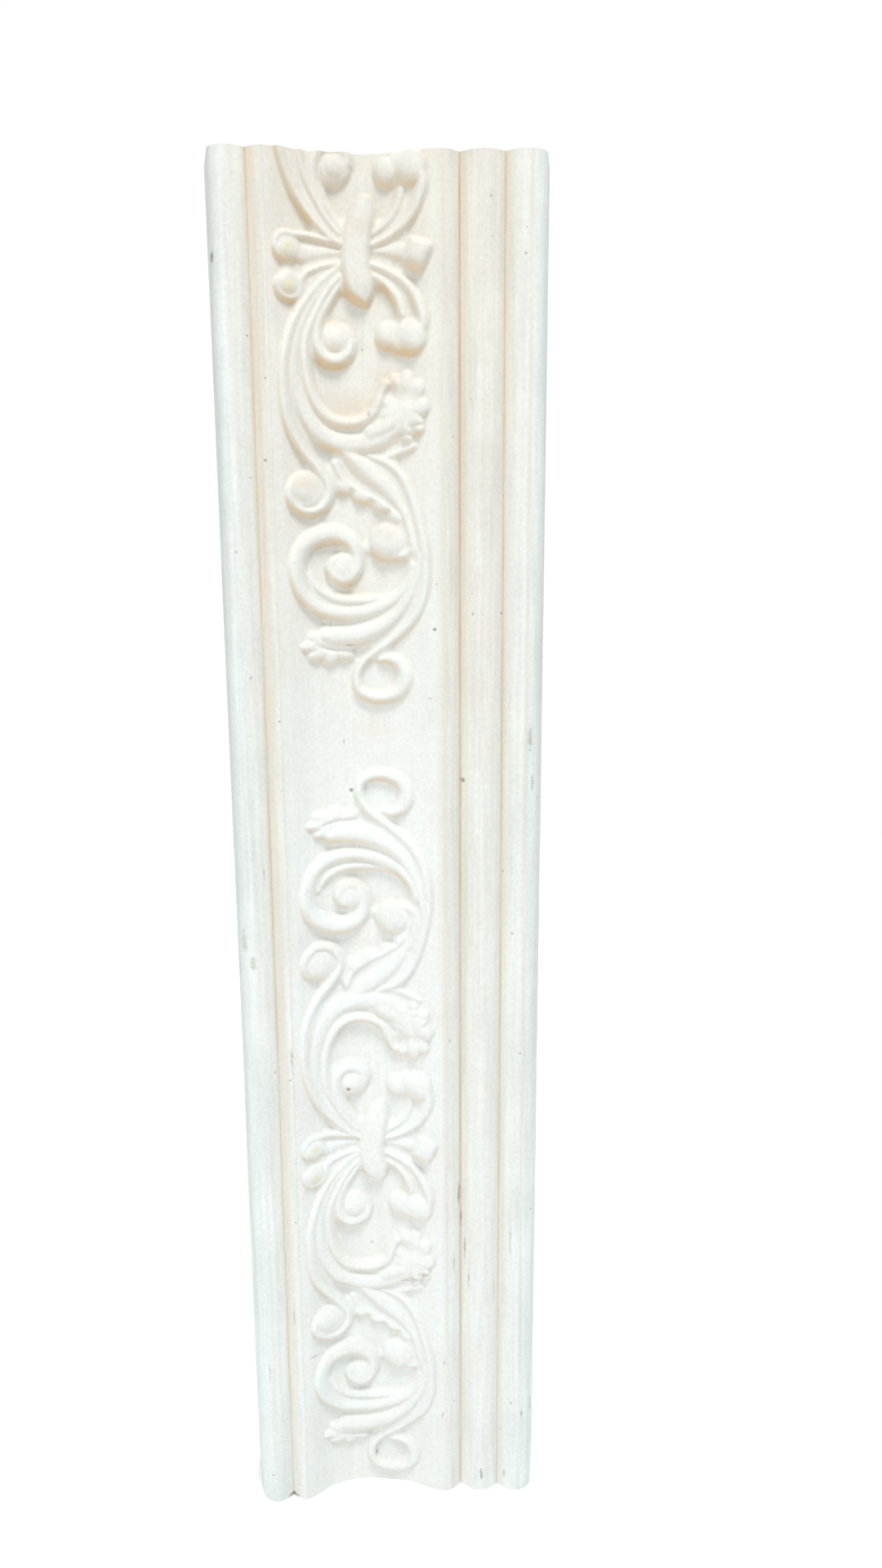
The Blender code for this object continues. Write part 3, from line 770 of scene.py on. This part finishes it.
def clean_plaster(tree, colours, place, cloud, drag, outer, top, plain):
    """The plaster's colour before painted shade, dust and grime: clouded, lined, and darker and warmer
    towards the top end.
    """
    cool = maths(tree, "MAXIMUM", ranged(tree, cloud, (0.42, 0.66), (0.0, 0.7)), outer)
    clean = mixed(tree, cool, (*colours.plaster, 1.0), (*colours.outer, 1.0))
    # Darker and warmer towards the top end, less so on the outer members
    darkened = product(tree, top, ranged(tree, outer, (0.0, 1.0), (0.75, 0.3)))
    top_tone = mixed(tree, darkened, clean, (*colours.top_tone, 1.0))
    # Broad clouds, the lines that the running of the mould left, and specks, all faint
    tone = ranged(tree, cloud, (0.3, 0.7), (0.945, 1.04))
    lined = product(tree, ranged(tree, drag, (0.3, 0.7), (-0.075, 0.055)), plain)
    # Real specks are finer: they are drawn coarser so that they show
    speck = ranged(tree, noise(tree, place, SPECK_SIZE, 3.0, 0.7), (0.3, 0.7), (-0.055, 0.045))
    tone = maths(tree, "ADD", maths(tree, "ADD", tone, lined), speck)
    return mixed(tree, 1.0, top_tone, tone, "MULTIPLY")


def shaded_and_dusty(tree, colours, colour, place, cloud, front, shade_and_dust, top):
    """Warm painted shade, with some dust: round the relief and under it, in the grooves between the members,
    and in broad patches.
    """
    parts = node(tree, "ShaderNodeSeparateXYZ", {"Vector": place}).outputs
    patchy = ranged(tree, cloud, (0.32, 0.62), (0.45, 1.0))
    share = product(tree, ranged(tree, top, (0.0, 1.0), (0.68, 1.3)), patchy)
    share = product(tree, share, front)
    # Painted shade, with some dust, in the hollows of the relief and under it, stronger towards the top end
    colour = mixed(tree, product(tree, shade_and_dust, share), colour, (*colours.shade_and_dust, 1.0))
    # Painted shade, with some dust, along the grooves
    for at, half, strength in GROOVE_SHADE_LINES:
        line = product(tree, band(tree, parts["X"], at, half), share)
        colour = tinted(tree, colour, line, strength, colours.shade_and_dust)
    # Broad patches of painted shade on the relief
    for x, z, half_x, half_z, strength in SHADE_PATCHES:
        away = away_from(tree, place, (x, z), (half_x, half_z))
        shade_patch = ranged(tree, away, PATCH_FADE, (1.0, 0.0), "SMOOTHSTEP")
        shade_patch = product(tree, product(tree, shade_patch, patchy), front)
        colour = tinted(tree, colour, shade_patch, strength, colours.shade_and_dust)
    return colour


def marked(tree, colours, colour, place, front, plain):
    """Yellow eyes, painted shade in air holes and chips, and dirty streaks over the plaster's colour."""
    wander = noise(tree, place, WANDER_SIZE, 2.0, 0.5)
    for middle in EYES:
        eye = spot(tree, place, wander, front, middle, EYE_HALVES)
        colour = tinted(tree, colour, eye, EYE_STRENGTH, colours.eye)
    # Small air holes all over the plain members, drawn as dots of painted shade
    inputs = {"Vector": place, "Scale": 1 / (HOLE_SPACING * MM)}
    cell = node(tree, "ShaderNodeTexVoronoi", inputs).outputs
    hole = maths(tree, "LESS_THAN", cell["Distance"], HOLE_SHARE)
    rare = node(tree, "ShaderNodeSeparateColor", {"Color": cell["Color"]}).outputs[0]
    rare = maths(tree, "GREATER_THAN", rare, HOLE_RARITY)
    hole = product(tree, product(tree, hole, front), product(tree, rare, plain))
    colour = tinted(tree, colour, hole, HOLE_STRENGTH, colours.pit_shade_and_dirt)
    # Painted shade in air holes and small chips, painted shadow at the left groove's bottom end, and dirty
    # streaks, that stand out
    for x, z, half_x, half_z, strength in MARKS:
        mark = spot(tree, place, wander, front, (x, z), (half_x, half_z))
        colour = tinted(tree, colour, mark, strength, colours.pit_shade_and_dirt)
    return colour


def cast_plaster(colours):
    """Gypsum plaster cast in a mould and left bare."""
    # Cast gypsum plaster: matt and off-white, with a faint grain, and warm in its grooves and round its
    # relief, where shade is painted, with some dust
    material = bpy.data.materials.new("Cast gypsum plaster")
    material.use_nodes = True
    tree = material.node_tree
    shader = tree.nodes["Principled BSDF"]
    shader.inputs["Roughness"].default_value = PLASTER_ROUGHNESS
    shader.inputs["Specular IOR Level"].default_value = PLASTER_SHINE
    place = node(tree, "ShaderNodeTexCoord", {}).outputs["Object"]
    shade_and_dust, outer, top, plain = [attribute(tree, name) for name in ("shade_and_dust", "outer", "top", "plain")]
    cloud = noise(tree, place, CLOUD_SIZE, 5.0, 0.62)
    stretched = node(tree, "ShaderNodeMapping", {"Vector": place, "Scale": DRAG_STRETCH}).outputs[0]
    drag = noise(tree, stretched, DRAG_SIZE, 3.0, 0.6)
    depth = node(tree, "ShaderNodeSeparateXYZ", {"Vector": place}).outputs["Y"]
    front = maths(tree, "LESS_THAN", depth, FRONT_DEPTH * MM)
    colour = clean_plaster(tree, colours, place, cloud, drag, outer, top, plain)
    colour = shaded_and_dusty(tree, colours, colour, place, cloud, front, shade_and_dust, top)
    colour = marked(tree, colours, colour, place, front, plain)
    tree.links.new(colour, shader.inputs["Base Color"])

    # Fine grain, drawn coarser than the real pores so that it shows, and the drag lines
    grain = noise(tree, place, GRAIN_SIZE, 4.0, 0.65)
    inputs = {"Height": grain, "Strength": 0.35, "Distance": GRAIN_DEPTH * MM}
    rough = node(tree, "ShaderNodeBump", inputs).outputs["Normal"]
    inputs = {"Height": product(tree, drag, plain), "Strength": 0.5, "Distance": DRAG_DEPTH * MM}
    ridged = node(tree, "ShaderNodeBump", inputs | {"Normal": rough}).outputs["Normal"]
    tree.links.new(ridged, shader.inputs["Normal"])
    return material


class Drawn:
    """Where a place on the face is in the drawing of the relief."""

    def __init__(self, sizes):
        self.scale = sizes.repeat / MM / DRAWN_REPEAT
        self.knot = 0.5 * sizes.length - sizes.first_knot

    def face(self, places):
        """Drawn millimetres across from the face's middle and down from the first knot."""
        across = places[:, 0] / MM / self.scale
        return across, (self.knot - places[:, 2]) / MM / self.scale

    def in_cove(self, places):
        return np.abs(places[:, 0] / MM - COVE_MIDDLE) < 0.5 * COVE_WIDTH


def paint(mesh, relief, drawn):
    """Point attributes that the plaster's colours follow."""
    places = places_of(mesh)
    across, along = drawn.face(places)
    # Painted shade, with some dust: in the hollows of the relief and on its slopes that face down and left,
    # away from the key light
    hollow = (blurred(relief.height, HOLLOW_REACH) - relief.height) / HOLLOW_DEPTH
    faces_up, faces_left = np.gradient(blurred(relief.height, SLOPE_REACH), PITCH)
    sloping = LEFT_SHARE * np.minimum(faces_left, STEEPEST_LEFT) - DOWN_SHARE * faces_up
    slope = blurred(np.clip(sloping - SLOPE_WITHOUT_SHADE, 0.0, 1.0), SLOPE_SOFTENING)
    tint = np.clip(np.clip(hollow, 0.0, MOST_HOLLOW_SHADE) + SLOPE_SHADE * slope, 0.0, 1.0)
    cove = drawn.in_cove(places)
    shade_and_dust = np.where(cove, sampled(tint, relief, across, along), 0.0)
    outer = np.clip((np.abs(places[:, 0] / MM) - OUTER_FROM) / OUTER_BLEND, 0.0, 1.0)
    top = np.clip(1.0 - (along + TOP_TONE_ABOVE) / TOP_TONE_LENGTH, 0.0, 1.0)
    plain = np.where(cove, COVE_DRAG, 1.0)
    for name, values in (("shade_and_dust", shade_and_dust), ("outer", outer), ("top", top), ("plain", plain)):
        layer = mesh.attributes.new(name, "FLOAT", "POINT")
        layer.data.foreach_set("value", values.astype(np.float32))


class MOULDING_OT_moulding(bpy.types.Operator):
    """Makes the moulding with its scroll relief"""

    bl_idname = "moulding.moulding"
    bl_label = "Moulding"

    def execute(self, context):
        sizes = context.scene.moulding_sizes
        mesh = drawn_out(section(sizes.thickness), sizes.length)
        drawn = Drawn(sizes)
        relief = ornament(drawn.scale)
        places = places_of(mesh)
        across, along = drawn.face(places)
        depth = (places[:, 1] + sizes.thickness) / MM
        cove = np.flatnonzero(drawn.in_cove(places) & (depth < 2 * COVE_DEPTH))
        heights = sampled(relief.height, relief, across[cove], along[cove]) * drawn.scale
        places[cove, 1] -= heights * (EDGE_HEIGHT + (1 - EDGE_HEIGHT) * depth[cove] / COVE_DEPTH) * MM
        mesh.vertices.foreach_set("co", places.ravel())
        piece = bpy.data.objects.new("moulding", mesh)
        context.scene.collection.objects.link(piece)
        mesh.calc_loop_triangles()
        thin = piece.modifiers.new("Thin", "DECIMATE")
        thin.ratio = min(1.0, MOST_TRIANGLES / len(mesh.loop_triangles))
        graph = context.evaluated_depsgraph_get()
        thinned = bpy.data.meshes.new_from_object(piece.evaluated_get(graph))
        piece.modifiers.clear()
        piece.data = thinned
        bpy.data.meshes.remove(mesh)
        thinned.shade_smooth()
        thinned.set_sharp_from_angle(angle=radians(60))
        paint(thinned, relief, drawn)
        thinned.materials.clear()
        thinned.materials.append(cast_plaster(context.scene.moulding_colours))
        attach(piece, "root")
        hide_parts(NODE)
        return {"FINISHED"}


def studio_floor(scene):
    """A wide plain floor under the piece."""
    work = bmesh.new()
    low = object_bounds()[0].z
    ends = [work.verts.new((x, FLOOR_NEAR, low)) for x in (-FLOOR_HALF_WIDTH, FLOOR_HALF_WIDTH)]
    made = bmesh.ops.extrude_edge_only(work, edges=[work.edges.new(ends)])["geom"]
    far = [item for item in made if isinstance(item, bmesh.types.BMVert)]
    bmesh.ops.translate(work, verts=far, vec=(0, FLOOR_DEPTH, 0))
    mesh = bpy.data.meshes.new("floor")
    work.to_mesh(mesh)
    work.free()
    # Matt white paper: an even pale ground with no shine, on which only soft shade shows
    paper = bpy.data.materials.new("Matt white paper")
    paper.use_nodes = True
    shader = paper.node_tree.nodes["Principled BSDF"]
    shader.inputs["Base Color"].default_value = (*linear("#FBFBFA"), 1.0)
    shader.inputs["Roughness"].default_value = FLOOR_ROUGHNESS
    shader.inputs["Emission Color"].default_value = (*linear("#FFFFFF"), 1.0)
    shader.inputs["Emission Strength"].default_value = FLOOR_GLOW
    mesh.materials.append(paper)
    floor = bpy.data.objects.new("floor", mesh)
    scene.collection.objects.link(floor)
    return floor


def studio_light(scene):
    """Soft light from all round, seen as white by the camera, and the lamps, which face the piece."""
    world = bpy.data.worlds.new("Studio")
    scene.world = world
    world.use_nodes = True
    tree = world.node_tree
    seen = node(tree, "ShaderNodeLightPath", {}).outputs["Is Camera Ray"]
    glow = ranged(tree, seen, (0.0, 1.0), (SURROUND_LIGHT, SURROUND_SEEN))
    background = tree.nodes["Background"]
    tree.links.new(glow, background.inputs["Strength"])
    background.inputs["Color"].default_value = (*linear("#FFFFFF"), 1.0)
    for name, place, size, power in LIGHTS:
        light = bpy.data.lights.new(name, "AREA")
        light.energy = power
        light.size = size
        lamp = bpy.data.objects.new(name, light)
        lamp.location = place
        lamp.rotation_euler = Vector(place).to_track_quat("Z", "Y").to_euler()
        scene.collection.objects.link(lamp)


class MOULDING_OT_stage(bpy.types.Operator):
    """Makes the floor, the studio light and the camera"""

    bl_idname = "moulding.stage"
    bl_label = "Stage"

    def execute(self, context):
        scene = context.scene
        floor = studio_floor(scene)
        floor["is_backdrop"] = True
        studio_light(scene)
        camera = bpy.data.objects.new("camera", bpy.data.cameras.new("camera"))
        scene.collection.objects.link(camera)
        turned = Matrix((CAMERA_RIGHT, CAMERA_UP, CAMERA_BACK)).transposed().to_4x4()
        turned.translation = CAMERA_PLACE
        camera.matrix_world = turned
        camera.data.lens = CAMERA_LENS
        camera.data.sensor_width = CAMERA_SENSOR
        camera.data.clip_start = NEAREST_SEEN
        scene.camera = camera
        scene.view_settings.view_transform = "Standard"
        scene.view_settings.exposure = 0.0
        return {"FINISHED"}


class MOULDING_PT_panel(bpy.types.Panel):
    """Lists the moulding's sizes and colours and makes its pieces"""

    bl_idname = "MOULDING_PT_panel"
    bl_label = "Crown moulding"
    bl_space_type = "VIEW_3D"
    bl_region_type = "UI"
    bl_category = "Moulding"

    def draw(self, context):
        layout = self.layout
        for group in (context.scene.moulding_sizes, context.scene.moulding_colours):
            for name in group.__annotations__:
                layout.prop(group, name)
        for made in OPERATORS:
            layout.operator(made.bl_idname)


OPERATORS = (MOULDING_OT_moulding, MOULDING_OT_stage)
CLASSES = (MouldingSizes, MouldingColours, *OPERATORS, MOULDING_PT_panel)


def register():
    for cls in CLASSES:
        bpy.utils.register_class(cls)
    bpy.types.Scene.moulding_sizes = PointerProperty(type=MouldingSizes)
    bpy.types.Scene.moulding_colours = PointerProperty(type=MouldingColours)


def unregister():
    del bpy.types.Scene.moulding_colours
    del bpy.types.Scene.moulding_sizes
    for cls in reversed(CLASSES):
        bpy.utils.unregister_class(cls)


def main():
    register()
    bpy.ops.moulding.moulding()
    bpy.ops.moulding.stage()


if __name__ == "__main__":
    main()
